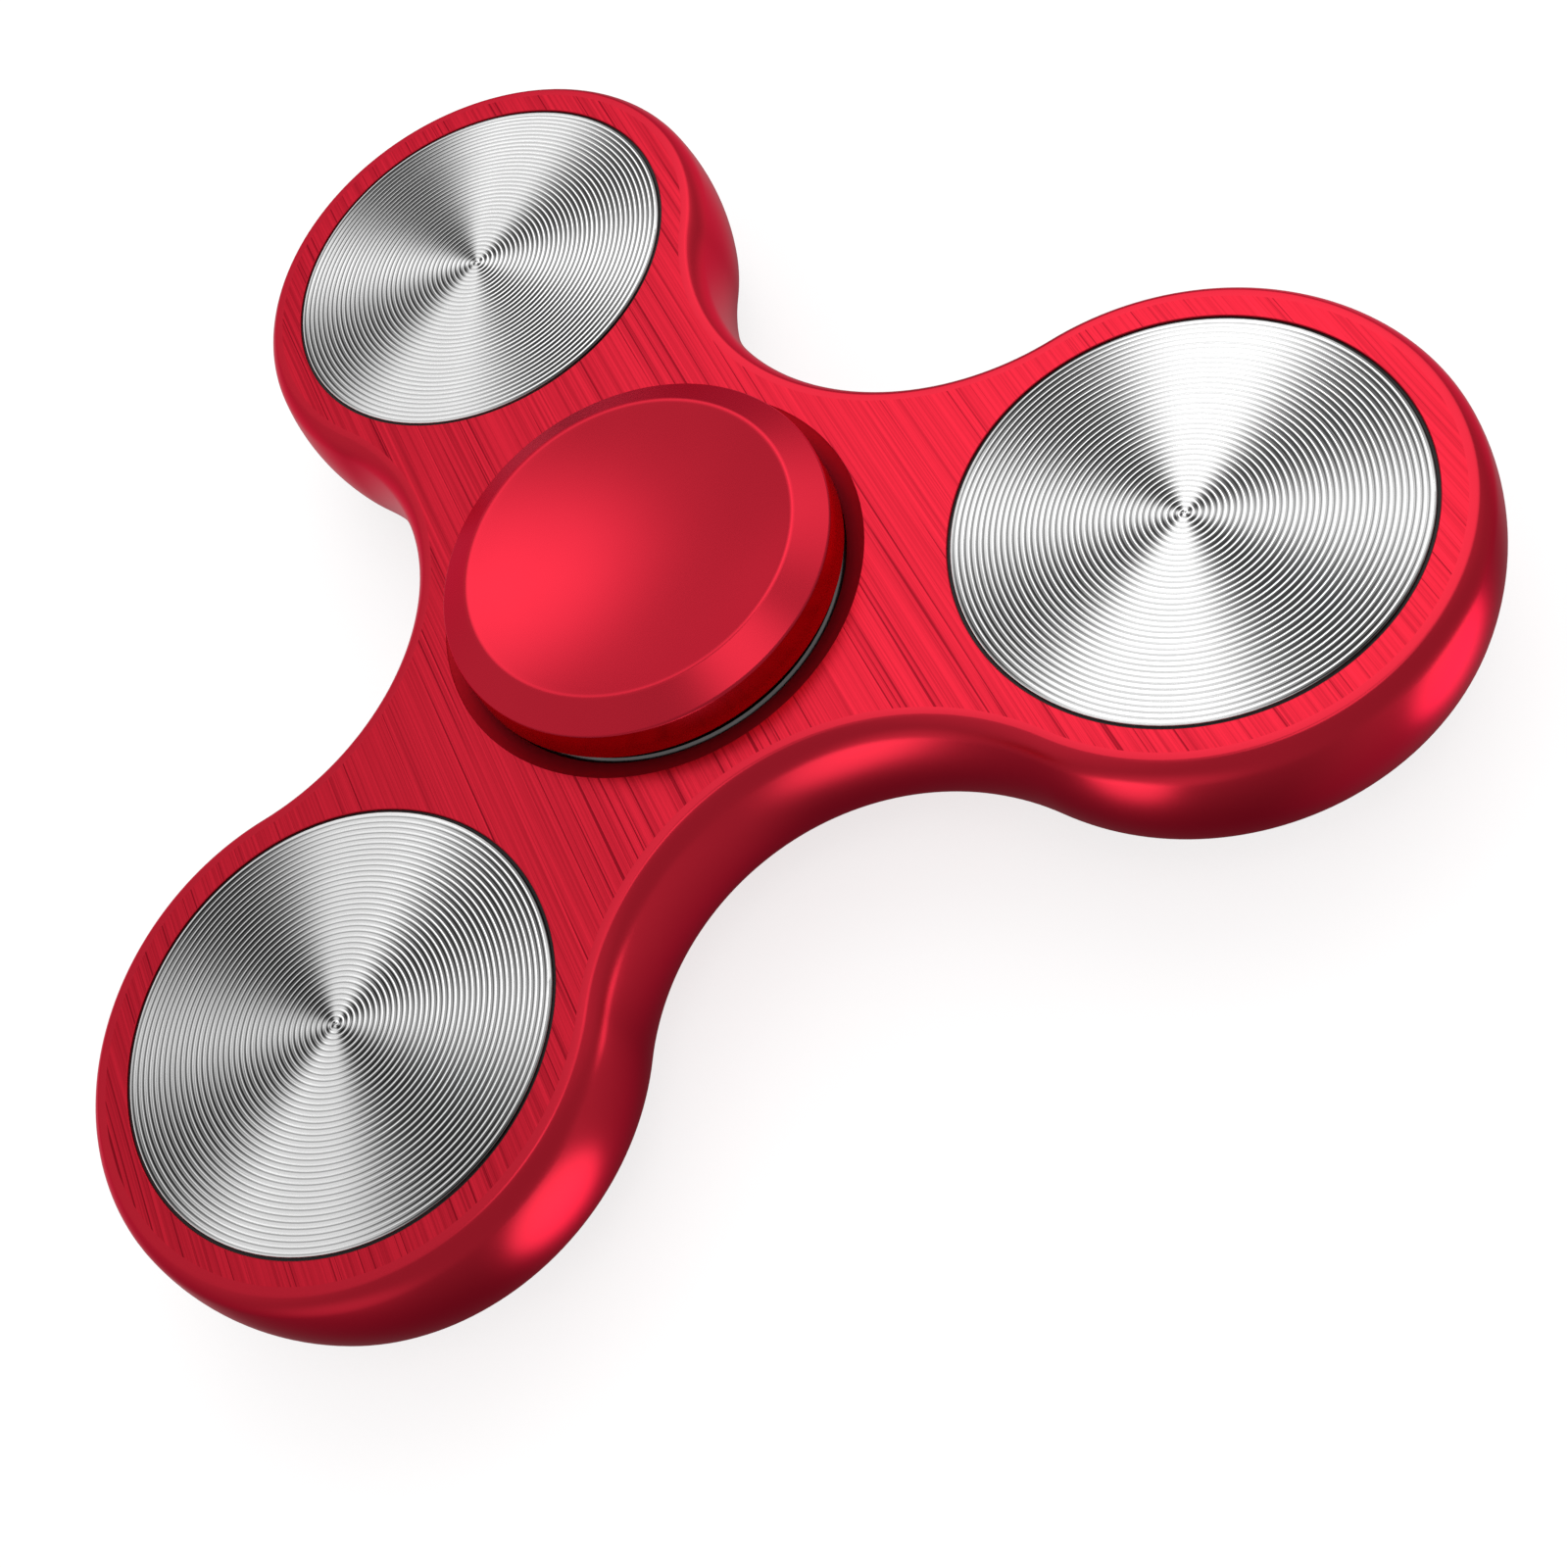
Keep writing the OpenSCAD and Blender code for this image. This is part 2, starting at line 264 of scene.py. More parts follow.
def side_profile():
    """The body's side in section, from the upper face to the lower one: edge, shoulder, long arc."""
    side_centre = SIDE_RADIUS - SIDE_BULGE
    reach = SIDE_RADIUS - SHOULDER_RADIUS
    span = math.hypot(side_centre, HALF_BODY)
    turn = math.atan2(HALF_BODY, side_centre) - math.acos(
        (span ** 2 + reach ** 2 - SHOULDER_RADIUS ** 2) / (2 * reach * span))
    shoulder = (reach * math.cos(turn) - side_centre, reach * math.sin(turn))
    inner = SHOULDER_RADIUS - EDGE_RADIUS
    rise = HALF_BODY - EDGE_DROP - EDGE_RADIUS - shoulder[1]
    edge = (shoulder[0] + math.sqrt(inner ** 2 - rise ** 2), shoulder[1] + rise)
    meet = math.atan2(rise, edge[0] - shoulder[0])
    upper = ([(-EDGE_STRIP, HALF_BODY)]
             + arc(edge, EDGE_RADIUS, math.pi / 2, meet, EDGE_STEPS)[:-1]
             + arc(shoulder, SHOULDER_RADIUS, meet, turn, SIDE_STEPS)[:-1]
             + arc((-side_centre, 0), SIDE_RADIUS, turn, 0, SIDE_STEPS))
    return upper + [(x, -z) for x, z in reversed(upper[:-1])]


def outline():
    """The edge of the face as (x, y, outward x, outward y), lobe by lobe and web by web."""
    points = []
    for arm in range(ARMS):
        turn = arm * ARM_STEP
        for i in range(round(2 * LOBE_HALF_SWEEP / OUTLINE_STEP)):
            angle = turn - LOBE_HALF_SWEEP + i * OUTLINE_STEP
            way = (math.cos(angle), math.sin(angle))
            points.append((ARM_RADIUS * math.cos(turn) + LOBE_RADIUS * way[0],
                           ARM_RADIUS * math.sin(turn) + LOBE_RADIUS * way[1], *way))
        middle = turn + ARM_STEP / 2
        for i in range(round(2 * WEB_HALF_SWEEP / OUTLINE_STEP)):
            angle = turn - WEB_HALF_SWEEP - i * OUTLINE_STEP
            way = (math.cos(angle), math.sin(angle))
            points.append((WEB_DISTANCE * math.cos(middle) + WEB_RADIUS * way[0],
                           WEB_DISTANCE * math.sin(middle) + WEB_RADIUS * way[1],
                           -way[0], -way[1]))
    return points


RED = (0.63, 0.0180, 0.0385, 1)
DEEP_RED = (0.26, 0.0065, 0.0150, 1)
SATIN_RED = (0.52, 0.017, 0.035, 1)
PALE_SATIN_RED = (0.56, 0.019, 0.038, 1)
BORED_RED = (0.56, 0.017, 0.034, 1)
PALE_BORED_RED = (0.64, 0.020, 0.040, 1)
BRUSH_TURN = ARM_STEP


def brushed_red(start):
    """Fine and coarse streaks along the brushing, with single dark scratches and bright ones."""
    point = place(start)
    fine = noise(stretched(point, BRUSH_TURN, 0.02, 6.0), 1.0, 3.0, 0.7)
    coarse = noise(stretched(point, BRUSH_TURN, 0.008, 1.3), 1.0, 2.0, 0.5)
    scratch = noise(stretched(point, BRUSH_TURN, 0.022, 4.6), 1.0, 1.0, 0.5).between(0.62, 0.72)
    glint = noise(stretched(point, BRUSH_TURN, 0.03, 5.2, 2.0), 1.0, 1.0, 0.5).between(0.62, 0.74)
    shade = (fine - 0.5) * 1.6 + (coarse - 0.5) * 0.5 + 0.6 - scratch * 0.75 + glint * 0.25
    return {
        "Base Color": shade.between(-0.1, 0.95).blend(DEEP_RED, RED),
        "Roughness": fine * 0.16 + 0.22,
        "Normal": (fine + coarse * 0.3 - scratch * 0.5).bump(0.02 * MM, 0.4),
    }


def satin_red(start):
    """A blasted surface: very fine grain, and faint clouds in the dye."""
    point = place(start)
    grain = noise(point, 9.0, 3.0, 0.6)
    cloud = noise(point, 0.09, 2.0, 0.5)
    return {
        "Base Color": (grain * 0.3 + cloud * 0.7).between(0.2, 0.8).blend(SATIN_RED, PALE_SATIN_RED),
        "Roughness": grain * 0.05 + 0.27,
        "Normal": grain.bump(0.006 * MM, 0.08),
    }


def bored_red(start):
    """The bores as the tool left them: dull, with faint rings one above another."""
    point = place(start)
    rings = noise(stretched(point, 0, 0.3, 0.3, 12.0), 1.0, 2.0, 0.5)
    return {
        "Base Color": rings.blend(BORED_RED, PALE_BORED_RED),
        "Roughness": rings * 0.08 + 0.50,
        "Normal": rings.bump(0.01 * MM, 0.3),
    }


# The dyed layer tints what the metal throws back at a glancing angle too.
EDGE_TINT = (0.95, 0.46, 0.52, 1)
red_metal = {"Metallic": 1.0, "Specular Tint": EDGE_TINT}
brushed = finish("brushed_red_anodised", red_metal, brushed_red)
satin = finish("satin_red_anodised", red_metal, satin_red)
bored = finish("bored_red_anodised", red_metal, bored_red)
BRUSHED, SATIN, BORED = 0, 1, 2

bm = bmesh.new()
rims = {1: [], -1: []}
side_rows = [[bm.verts.new((x + nx * out, y + ny * out, z)) for x, y, nx, ny in outline()]
             for out, z in side_profile()]
skin(bm, side_rows, SATIN)
rims[1].append(side_rows[0])
rims[-1].append(side_rows[-1])

pocket = [(POCKET_RADIUS, HALF_BODY), (POCKET_RADIUS - POCKET_EASE, HALF_BODY - POCKET_EASE),
          (SEAT_RADIUS, HALF_SEAT)]
pocket_rows = [ring(bm, (0, 0), r, z, ROUND_STEPS)
               for r, z in pocket + [(r, -z) for r, z in reversed(pocket)]]
skin(bm, pocket_rows, BORED)
rims[1].append(pocket_rows[0])
rims[-1].append(pocket_rows[-1])

recess = [(RECESS_RADIUS, HALF_BODY), (RECESS_RADIUS - RECESS_EASE, HALF_BODY - RECESS_EASE),
          (RECESS_RADIUS - RECESS_EASE, RECESS_FLOOR), (WEIGHT_RADIUS, RECESS_FLOOR)]
for arm in range(ARMS):
    centre = (ARM_RADIUS * math.cos(arm * ARM_STEP), ARM_RADIUS * math.sin(arm * ARM_STEP))
    recess_rows = [ring(bm, centre, r, z, ROUND_STEPS)
                   for r, z in recess + [(r, -z) for r, z in reversed(recess)]]
    skin(bm, recess_rows, BORED)
    rims[1].append(recess_rows[0])
    rims[-1].append(recess_rows[-1])

# Each of the two faces fills what its rims leave between them.
for side in (1, -1):
    edges = [bm.edges.get((row[i - 1], row[i])) for row in rims[side] for i in range(len(row))]
    filled = bmesh.ops.triangle_fill(bm, edges=edges, use_beauty=True, normal=(0, 0, side))
    for face in filled["geom"]:
        if isinstance(face, bmesh.types.BMFace):
            face.material_index = BRUSHED
piece("body_plate", bm, "spinner", "body_frame", [brushed, satin, bored], FACE_SHARP)

# ---------------------------------------------------------------------------------------------
# Face discs. Thin plates of stainless steel, faced on a lathe in one pass, so that the tool has
# left a fine spiral from the middle to the rim; glued into the lobes, three on each side.
# ---------------------------------------------------------------------------------------------
DISC_RADIUS = (disc_high.x - disc_low.x) / 2
DISC_THICKNESS = disc_high.z - disc_low.z
DISC_CHAMFER = 0.05 * MM
SPIRAL_TURNS = 37
SPIRAL_PITCH = (DISC_RADIUS - DISC_CHAMFER) / (SPIRAL_TURNS + 1)
SPIRAL_DEPTH = 0.045 * MM
# The surface's height at each quarter of a turn's width, in parts of the groove's depth.
SPIRAL_PHASES = (0.0, -0.45, -1.0, -0.55)
SPIRAL_STEPS = 120
DISC_SHARP = 50
# The painted shade down in the groove's valleys, and the steel's own pale colour.
PAINTED_GROOVE_SHADE = (0.004, 0.004, 0.004, 1)
STEEL_BRIGHT = (0.95, 0.95, 0.95, 1)
# Painted light and shade in the steel's colour, in wedges as the tool marks throw the light: a
# mean, four wedges a quarter turn apart, and two half a turn apart, each set with its strength
# and the angle of a bright one.
PAINTED_LIGHT_MEAN = 0.46
PAINTED_LIGHT_CROSS = (0.34, math.radians(81))
PAINTED_LIGHT_LONG = (0.27, math.radians(77))


def turned_steel_painted_light(start):
    """A spiral of valleys in painted shade and crests in painted highlight, over painted wedges of
    light and shade.
    """
    point = place(start)
    x = start.node("ShaderNodeSeparateXYZ", None, {0: point}, "X")
    y = start.node("ShaderNodeSeparateXYZ", None, {0: point}, "Y")
    angle = start.math("ARCTAN2", y, x)
    radius = start.math("SQRT", x * x + y * y)
    turns = radius / (SPIRAL_PITCH / MM)
    phase = (turns - angle / (2 * math.pi)).fraction()
    lines = noise(start.node("ShaderNodeCombineXYZ", None, {"X": turns * 4.0, "Y": angle * 0.35}),
                  1.0, 2.0, 0.6)
    # Painted wedges of light and shade, which turn with the disc.
    cross = ((angle - PAINTED_LIGHT_CROSS[1]) * 4).cosine() * PAINTED_LIGHT_CROSS[0]
    long = ((angle - PAINTED_LIGHT_LONG[1]) * 2).cosine() * PAINTED_LIGHT_LONG[0]
    painted_wedge_light = (cross + long + PAINTED_LIGHT_MEAN + (lines - 0.5) * 0.2).between(-0.05, 1.0)
    # Painted shade down in each valley, and a painted highlight along each crest.
    painted_valley_shade = ((phase - 0.5).magnitude() * 2).between(0.62, 0.88)
    crest = 1 - (phase - 0.40).magnitude().between(0.05, 0.17)
    bright = (painted_wedge_light * 0.92 + 0.05).larger(crest * 0.95) * (1 - painted_valley_shade * (1 - painted_wedge_light * 0.5) * 0.96)
    return {
        "Base Color": bright.blend(PAINTED_GROOVE_SHADE, STEEL_BRIGHT),
        "Roughness": lines * 0.12 + 0.20,
        "Normal": lines.bump(0.01 * MM, 0.4),
    }


turned = finish("turned_stainless_steel_painted_light", {"Metallic": 1.0}, turned_steel_painted_light)


def spiral_disc():
    """A disc whose upper face, at height 0, is one spiral groove from the middle to the rim."""
    bm = bmesh.new()
    phases = len(SPIRAL_PHASES)
    rows = phases * SPIRAL_TURNS

    def point(row, step):
        turns = row / phases + step / SPIRAL_STEPS
        angle = 2 * math.pi * step / SPIRAL_STEPS
        height = SPIRAL_DEPTH * SPIRAL_PHASES[row % phases]
        return bm.verts.new((SPIRAL_PITCH * turns * math.cos(angle),
                             SPIRAL_PITCH * turns * math.sin(angle), height))

    # Each row of vertices ends where the row one turn further out begins.
    grid = [[point(row, step) for step in range(SPIRAL_STEPS)] for row in range(rows + 1)]
    for row in range(rows + 1, rows + phases + 1):
        grid.append([point(row, 0)])
    for row in range(rows):
        for step in range(SPIRAL_STEPS - 1):
            bm.faces.new((grid[row][step], grid[row + 1][step],
                          grid[row + 1][step + 1], grid[row][step + 1]))
        bm.faces.new((grid[row][-1], grid[row + 1][-1],
                      grid[row + 1 + phases][0], grid[row + phases][0]))
    # One face closes the middle.
    bm.faces.new([grid[0][step] for step in range(SPIRAL_STEPS)]
                 + [grid[row][0] for row in range(phases, 0, -1)])
    # Past the last turn, a level strip that narrows to nothing fills up to the round rim.
    last = grid[rows]
    corner = grid[rows + phases][0]
    rim_radius = SPIRAL_PITCH * (SPIRAL_TURNS + 1)
    rim = [corner] + ring(bm, (0, 0), rim_radius, 0, SPIRAL_STEPS)[1:]
    bm.faces.new([last[0]] + [grid[rows + k][0] for k in range(1, phases)] + [corner, rim[1], last[1]])
    for step in range(1, SPIRAL_STEPS - 1):
        bm.faces.new((last[step], rim[step], rim[step + 1], last[step + 1]))
    bm.faces.new((last[-1], rim[-1], corner))
    rows_down = [rim] + [ring(bm, (0, 0), r, z, SPIRAL_STEPS) for r, z in (
        (DISC_RADIUS, -DISC_CHAMFER), (DISC_RADIUS, -DISC_THICKNESS), (0, -DISC_THICKNESS))]
    skin(bm, rows_down)
    # The spiral's corner stands in for the rim's first vertex, which is left with no face.
    bmesh.ops.delete(bm, geom=[v for v in bm.verts if not v.link_faces], context="VERTS")
    return bm


# Each disc is glued in as it comes to hand; the third lies turned a little from the others.
DISC_TURN = (0.0, 0.0, math.radians(8))
TURN_OVER = Matrix.Rotation(math.pi, 4, "X")
for arm in range(ARMS):
    for label in ("top", "bottom"):
        low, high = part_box(f"face_disc_{label}_{arm + 1}")
        surface = high.z if label == "top" else low.z
        middle = Vector(((low.x + high.x) / 2, (low.y + high.y) / 2, surface))
        where = Matrix.Translation(middle) @ Matrix.Rotation(DISC_TURN[arm], 4, "Z")
        if label == "bottom":
            where = where @ TURN_OVER
        piece(f"turned_disc_{label}_{arm + 1}", spiral_disc(), "spinner",
              f"face_disc_{label}_{arm + 1}", [turned], DISC_SHARP, where)

# ---------------------------------------------------------------------------------------------
# Adhesive. Black epoxy under each disc; it has risen into the gap round the disc and set as a
# thin black line with a slightly sunken, uneven top. Its near-black colour is partly painted
# shade: it stands for the shade down in that gap.
# ---------------------------------------------------------------------------------------------
# The glue's near-black, which also stands for painted shade in the gap round each disc.
EPOXY_BLACK_AND_GAP_SHADE = (0.004, 0.004, 0.004, 1)
PALE_EPOXY_BLACK_AND_GAP_SHADE = (0.012, 0.011, 0.011, 1)


def black_epoxy_and_gap_shade(start):
    """Set glue, nearly black, with soft ripples; its black is partly painted shade in the gap round the
    disc.
    """
    ripple = noise(place(start), 1.2, 2.0, 0.5)
    return {
        "Base Color": ripple.blend(EPOXY_BLACK_AND_GAP_SHADE, PALE_EPOXY_BLACK_AND_GAP_SHADE),
        "Roughness": ripple * 0.25 + 0.35,
        "Normal": ripple.bump(0.02 * MM, 0.5),
    }


def dress(node, material):
    """Gives a part of the frame its material, and leaves its shape and place as they are."""
    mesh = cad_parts[node].data
    mesh.materials.clear()
    mesh.materials.append(material)


epoxy = finish("black_epoxy_and_gap_shade", {"Specular IOR Level": 0.25}, black_epoxy_and_gap_shade)
for arm in range(ARMS):
    for label in ("top", "bottom"):
        dress(f"adhesive_{label}_{arm + 1}", epoxy)

# ---------------------------------------------------------------------------------------------
# Finger caps. Turned aluminium buttons, blasted and anodised red: a dished top with a narrow
# rim, a sloping band, a short wall, and a stem that clamps the bearing's inner ring. The lower
# cap's stem ends in a screw, which goes through the bearing into the upper one and holds both.
# ---------------------------------------------------------------------------------------------
cap_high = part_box("top_cap")[1]
CAP_TOP = cap_high.z
CAP_RADIUS = cap_high.x
CAP_WALL_TOP = 11.04 * MM
CAP_UNDER = 4.19 * MM
BEVEL_FOOT = CAP_TOP - 0.96 * MM
DISH_RADIUS = 9.13 * MM
DISH_DEPTH = 1.3 * MM
LAND_WIDTH = 0.2 * MM
COLLAR_RADIUS = 5.3 * MM
STEM_RADIUS = 3.98 * MM
STEM_END = 0.15 * MM
SCREW_RADIUS = 2.5 * MM
SCREW_PLAY = 0.02 * MM
SCREW_HOLE_RADIUS = SCREW_RADIUS + SCREW_PLAY
SCREW_HOLE_END = 4.85 * MM
DISH_EASE = 0.1 * MM
LAND_EASE = 0.09 * MM
WALL_EASE = 0.12 * MM
FOOT_EASE = 0.05 * MM
FOOT_BEVEL = 0.15 * MM
EASE_STEPS = 4
DISH_STEPS = 24
CAP_SHARP = 35


def eased(corners):
    """A section's corners, each (radius, height, ease), with an arc of that ease at each one."""
    points = []
    for i, (x, z, ease) in enumerate(corners):
        here = Vector((x, z))
        if ease == 0 or i in (0, len(corners) - 1):
            points.append((x, z))
            continue
        before = (Vector(corners[i - 1][:2]) - here).normalized()
        after = (Vector(corners[i + 1][:2]) - here).normalized()
        half = math.acos(max(-1.0, min(1.0, before.dot(after)))) / 2
        start, end = here + before * ease, here + after * ease
        centre = here + (before + after).normalized() * (ease / math.cos(half))
        for k in range(EASE_STEPS + 1):
            spoke = (start - centre).lerp(end - centre, k / EASE_STEPS).normalized()
            points.append(tuple(centre + spoke * ease * math.tan(half)))
    return points


def turned_solid(points):
    """A lathe-turned solid from a section's points, from the axis round and back to the axis."""
    bm = bmesh.new()
    skin(bm, [ring(bm, (0, 0), r, z, ROUND_STEPS) for r, z in points])
    return bm


def cap_outside(stem_points):
    """A cap's section, from the middle of its dish out and round to the stem's own points."""
    dish = (DISH_RADIUS ** 2 + DISH_DEPTH ** 2) / (2 * DISH_DEPTH)
    middle = CAP_TOP - DISH_DEPTH + dish
    sweep = math.asin(DISH_RADIUS / dish)
    hollow = [(dish * math.sin(sweep * i / DISH_STEPS),
               middle - dish * math.cos(sweep * i / DISH_STEPS)) for i in range(DISH_STEPS)]
    corners = [
        (*hollow[-1], 0),
        (DISH_RADIUS, CAP_TOP, DISH_EASE),
        (DISH_RADIUS + LAND_WIDTH, CAP_TOP, LAND_EASE),
        (CAP_WALL_TOP, BEVEL_FOOT, WALL_EASE),
        (CAP_RADIUS, CAP_UNDER + FOOT_BEVEL, FOOT_EASE),
        (CAP_RADIUS - FOOT_BEVEL, CAP_UNDER, 0),
        (COLLAR_RADIUS, CAP_UNDER, 0),
        (COLLAR_RADIUS, HALF_SEAT, 0),
        (STEM_RADIUS, HALF_SEAT, 0),
        (STEM_RADIUS, STEM_END, 0),
    ]
    return hollow[:-1] + eased(corners) + stem_points


def satin_cap(start):
    """As the body's side, a little smoother."""
    point = place(start)
    grain = noise(point, 9.0, 3.0, 0.6)
    cloud = noise(point, 0.12, 2.0, 0.5)
    return {
        "Base Color": (grain * 0.25 + cloud * 0.75).between(0.2, 0.8).blend(SATIN_RED, PALE_SATIN_RED),
        "Roughness": grain * 0.05 + 0.25,
        "Normal": grain.bump(0.005 * MM, 0.06),
    }


cap_finish = finish("satin_red_cap", red_metal, satin_cap)
screw_hole = [(SCREW_HOLE_RADIUS, STEM_END), (SCREW_HOLE_RADIUS, SCREW_HOLE_END), (0, SCREW_HOLE_END)]
piece("finger_cap_top", turned_solid(cap_outside(screw_hole)), "hub",
      "top_cap", [cap_finish], CAP_SHARP)

SCREW_END = 3.45 * MM
SCREW_PITCH = 0.8 * MM
SCREW_ROOT = 2.012 * MM
SCREW_TURNS = 3
CREST_START = 0.4 * SCREW_PITCH
CREST_END = 0.6 * SCREW_PITCH
# The thread is drawn as level rings, one crest to each pitch.
thread = [(SCREW_ROOT, -STEM_END)]
for turn in range(SCREW_TURNS):
    foot = SCREW_END - (SCREW_TURNS - turn) * SCREW_PITCH
    thread += [(SCREW_ROOT, foot), (SCREW_RADIUS, foot + CREST_START), (SCREW_RADIUS, foot + CREST_END)]
thread += [(SCREW_ROOT, SCREW_END), (0, SCREW_END)]
bottom_points = [(r, -z) for r, z in cap_outside([])] + thread
piece("finger_cap_bottom", turned_solid(bottom_points), "hub",
      "bottom_cap", [cap_finish], CAP_SHARP)

# ---------------------------------------------------------------------------------------------
# Bearing. A sealed ball bearing of the 608 size pressed into the body: ground steel rings,
# seven polished balls in a moulded nylon crown cage, and a black rubber seal on each side.
# ---------------------------------------------------------------------------------------------
BALLS = 7
DARK_STEEL_TONE = (0.12, 0.115, 0.115, 1)
PALE_STEEL_TONE = (0.22, 0.21, 0.21, 1)
NYLON = (0.62, 0.56, 0.44, 1)
PALE_NYLON = (0.74, 0.69, 0.58, 1)
RUBBER_BLACK = (0.006, 0.006, 0.006, 1)
PALE_RUBBER_BLACK = (0.02, 0.02, 0.02, 1)


def ground_steel(start):
    """Grinding marks that run round the ring, over a dark steel tone that varies in soft patches."""
    point = place(start)
    grind = noise(stretched(point, 0, 0.4, 0.4, 14.0), 1.0, 2.0, 0.6)
    steel_tone_patches = noise(point, 0.5, 2.0, 0.5)
    return {
        "Base Color": (grind * 0.4 + steel_tone_patches * 0.6).blend(DARK_STEEL_TONE, PALE_STEEL_TONE),
        "Roughness": grind * 0.15 + 0.15,
        "Normal": grind.bump(0.004 * MM, 0.3),
    }


def moulded_nylon(start):
    """Natural nylon, slightly cloudy."""
    cloud = noise(place(start), 0.8, 3.0, 0.5)
    return {
        "Base Color": cloud.blend(NYLON, PALE_NYLON),
        "Roughness": cloud * 0.2 + 0.4,
        "Normal": cloud.bump(0.01 * MM, 0.3),
    }


def nitrile_rubber(start):
    """Dull black rubber with a fine grain."""
    grain = noise(place(start), 6.0, 3.0, 0.6)
    return {
        "Base Color": grain.blend(RUBBER_BLACK, PALE_RUBBER_BLACK),
        "Roughness": grain * 0.2 + 0.5,
        "Normal": grain.bump(0.01 * MM, 0.4),
    }


bearing_steel = finish("ground_bearing_steel", {"Metallic": 1.0}, ground_steel)
ball_steel = finish("polished_ball_steel", {"Metallic": 1.0}, ground_steel)
nylon = finish("moulded_nylon", {}, moulded_nylon)
rubber = finish("nitrile_rubber", {"Specular IOR Level": 0.3}, nitrile_rubber)
dress("bearing_inner_race", bearing_steel)
dress("bearing_outer_race", bearing_steel)
for ball in range(BALLS):
    dress(f"ball_{ball + 1}", ball_steel)
dress("bearing_cage", nylon)
dress("bearing_seal_top", rubber)
dress("bearing_seal_bottom", rubber)

# ---------------------------------------------------------------------------------------------
# Weights. A slug of plain steel bar, sawn off and pressed into the bore of each lobe, where the
# two discs hide it; it gives the arms the weight that keeps them turning.
# ---------------------------------------------------------------------------------------------
MILL_SKIN = (0.10, 0.10, 0.11, 1)
PALE_MILL_SKIN = (0.24, 0.24, 0.25, 1)


def cut_bar(start):
    """Plain bar with a dark, patchy mill skin."""
    patches = noise(place(start), 1.5, 4.0, 0.6)
    return {
        "Base Color": patches.blend(MILL_SKIN, PALE_MILL_SKIN),
        "Roughness": patches * 0.3 + 0.3,
        "Normal": patches.bump(0.02 * MM, 0.4),
    }


bar_steel = finish("cut_steel_bar", {"Metallic": 1.0}, cut_bar)
for arm in range(ARMS):
    dress(f"weight_{arm + 1}", bar_steel)

# ---------------------------------------------------------------------------------------------
# Stage. A pale floor under the lower cap's rim, and a dim room with large soft lights a long way
# off. Two small lamps lower than the floor glint on the sides of lobes 1 and 3.
# ---------------------------------------------------------------------------------------------
FLOOR_HALF = 3.0
FLOOR_GLOW = 0.74
FLOOR_GREY = (0.34, 0.34, 0.34, 1)
PALE_FLOOR_GREY = (0.38, 0.38, 0.38, 1)
WHITE = (1, 1, 1, 1)
bm = bmesh.new()
bmesh.ops.create_grid(bm, x_segments=1, y_segments=1, size=FLOOR_HALF)
floor_mesh = bpy.data.meshes.new("floor")
bm.to_mesh(floor_mesh)
bm.free()
floor = bpy.data.objects.new("floor", floor_mesh)
floor.location.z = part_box("bottom_cap")[0].z
bpy.context.scene.collection.objects.link(floor)


def pale_floor(start):
    """Matt painted board, very faintly clouded."""
    cloud = noise(start.node("ShaderNodeTexCoord", None, None, "Object"), 3.0, 2.0, 0.5)
    return {"Base Color": cloud.blend(FLOOR_GREY, PALE_FLOOR_GREY)}


floor_mesh.materials.append(finish("pale_floor", {
    "Roughness": 0.6, "Specular IOR Level": 0.2,
    "Emission Color": WHITE, "Emission Strength": FLOOR_GLOW}, pale_floor))
floor.visible_glossy = False
floor.visible_shadow = False

world = bpy.data.worlds.new("studio")
world.use_nodes = True
bpy.context.scene.world = world
room = Wire(world.node_tree)
ROOM_STRENGTH = 1.75
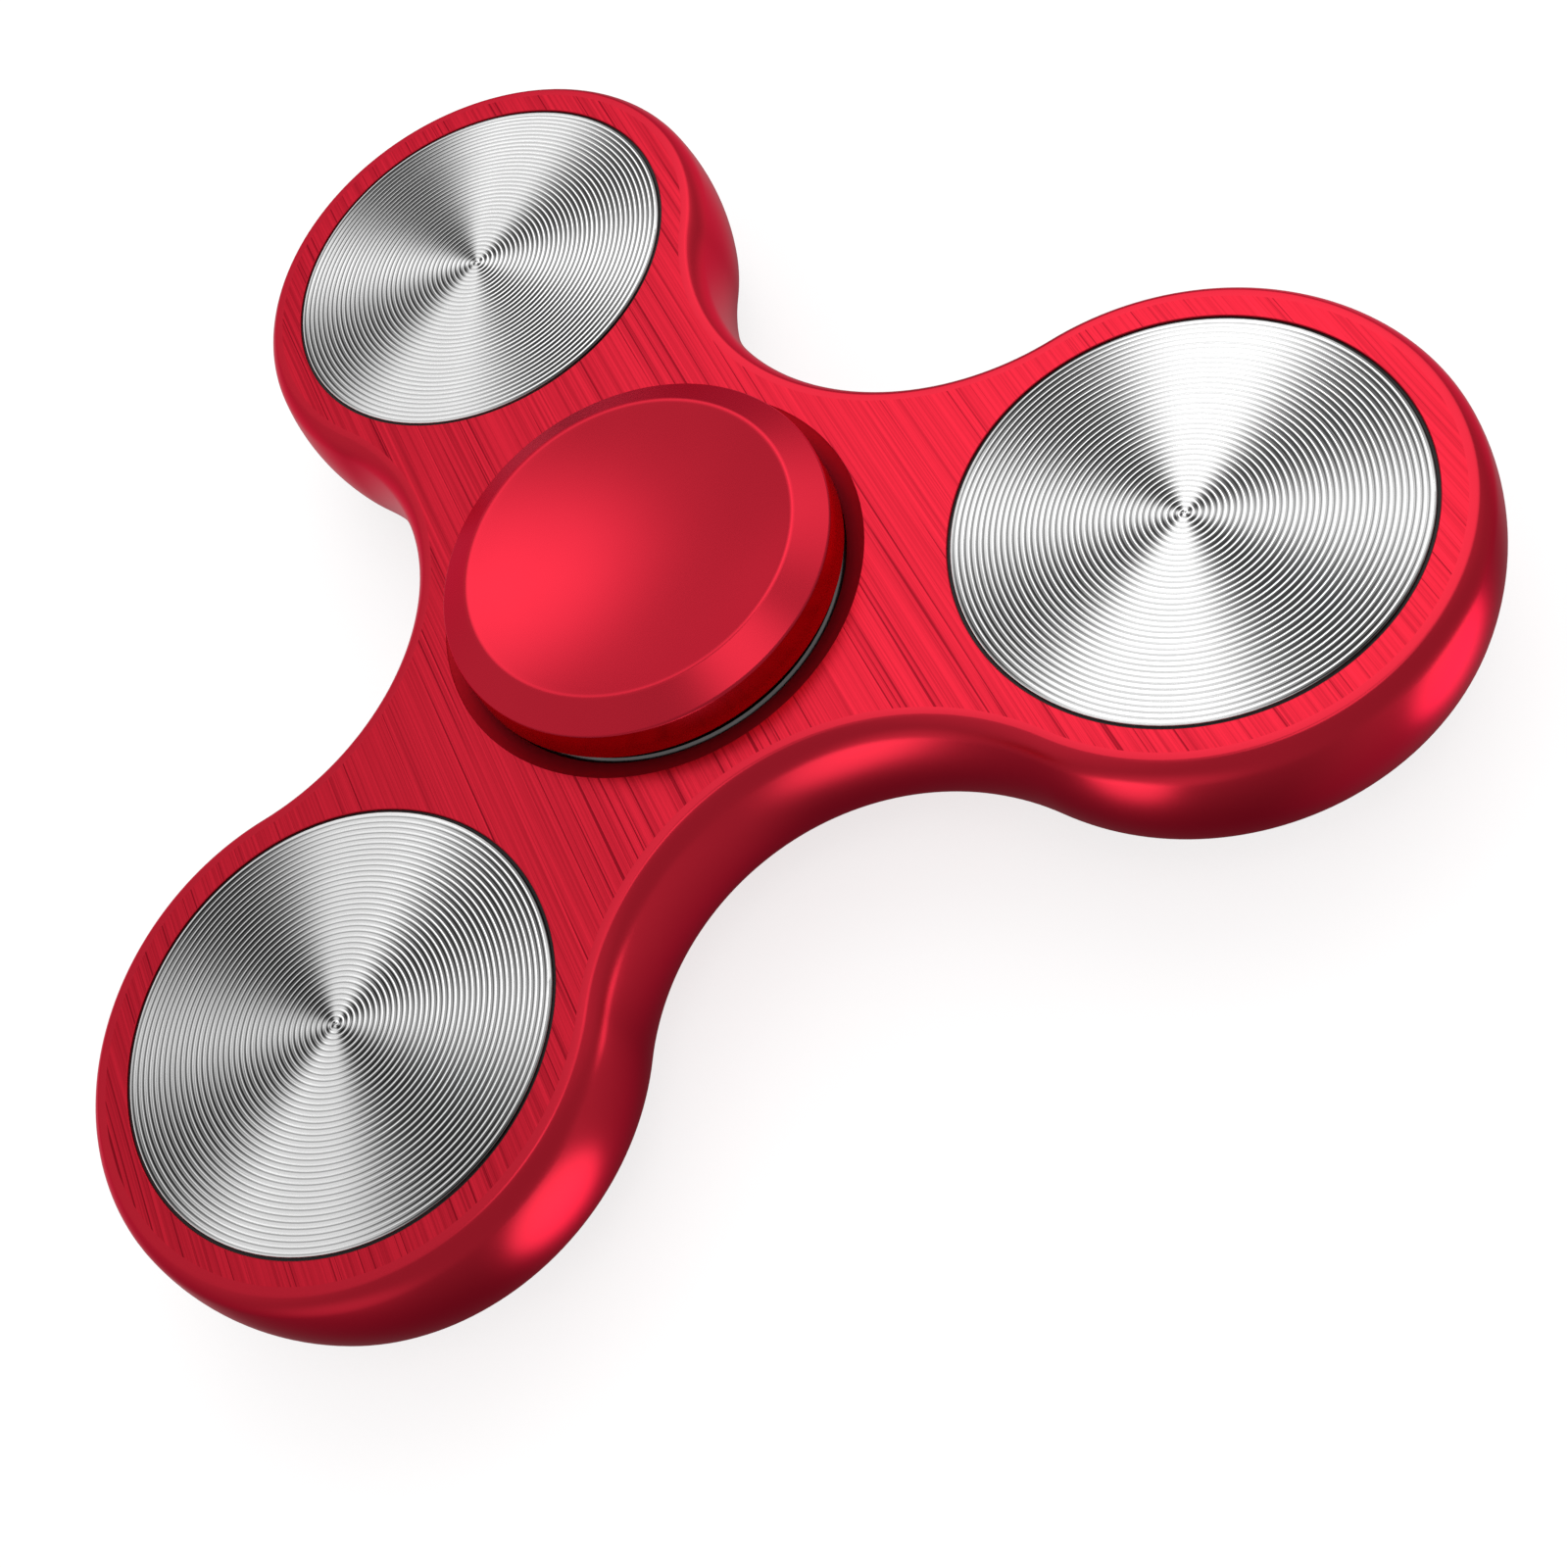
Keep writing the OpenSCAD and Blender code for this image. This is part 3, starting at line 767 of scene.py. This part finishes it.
# Each light: azimuth, elevation, angle of its full part, angle where it ends, strength. Behind,
# in front, right and left are as the viewer stands.
SOFT_LIGHTS = (
    (78, 48, 9, 38, 0.64),      # the main light, high up behind and to the right
    (107, 54, 4, 20, 0.32),     # a smaller one beside it, nearly straight behind
    (-24, 71, 5, 20, 0.85),     # nearly overhead, a little in front
    (176, 42, 20, 70, 0.15),    # a broad weak one behind and to the left
    (71, -24, 9, 38, 0.30),     # low down, behind and to the right
    (-105, -14, 4, 26, 0.20),   # low down, in front and to the left
    (163, -30, 5, 34, 0.28),    # low down, behind and to the left
    (130, 10, 5, 30, 0.16),     # just above level, straight behind
    (30, 36, 9, 36, 0.10),      # a weak one on the right
    (-14, -48, 8, 40, 0.16),    # far down, in front and to the right
)
# What comes from straight below is dim, and the room around and above is a little lighter.
GLOW_BELOW = 0.10
GLOW_AROUND = 0.17
direction = room.node("ShaderNodeTexCoord", None, None, "Generated")


def soft_light(azimuth, elevation, inner, outer, strength):
    """A round soft light a long way off: full within the inner angle, nothing past the outer."""
    a, e = math.radians(azimuth), math.radians(elevation)
    way = (math.cos(e) * math.cos(a), math.cos(e) * math.sin(a), math.sin(e))
    towards = direction.node("ShaderNodeVectorMath", {"operation": "DOT_PRODUCT"},
                             {0: direction, 1: way}, "Value")
    return towards.between(math.cos(math.radians(outer)), math.cos(math.radians(inner))) * strength


height = direction.node("ShaderNodeVectorMath", {"operation": "DOT_PRODUCT"},
                        {0: direction, 1: (0, 0, 1)}, "Value")
glow = height.between(-0.95, -0.25) * GLOW_AROUND + GLOW_BELOW
for soft in SOFT_LIGHTS:
    glow = glow + soft_light(*soft)
light = glow * ROOM_STRENGTH
# The viewer sees plain white behind the floor, whatever the lights are.
seen = room.node("ShaderNodeLightPath", None, None, "Is Camera Ray")
strength = light * (1 - seen) + seen
background = world.node_tree.nodes["Background"]
background.inputs["Color"].default_value = WHITE
world.node_tree.links.new(strength.socket, background.inputs["Strength"])

# Where the two low lamps are, in millimetres.
LOW_LAMPS = ((10, -43, -18), (60, -9, -18))
LOW_LAMP_RADIUS = 10 * MM
LOW_LAMP_WATTS = 0.0075
for number, spot in enumerate(LOW_LAMPS, 1):
    lamp_data = bpy.data.lights.new(f"low_lamp_{number}", "POINT")
    lamp_data.energy = LOW_LAMP_WATTS
    lamp_data.shadow_soft_size = LOW_LAMP_RADIUS
    lamp = bpy.data.objects.new(f"low_lamp_{number}", lamp_data)
    lamp.location = Vector(spot) * MM
    lamp.visible_camera = False
    bpy.context.scene.collection.objects.link(lamp)
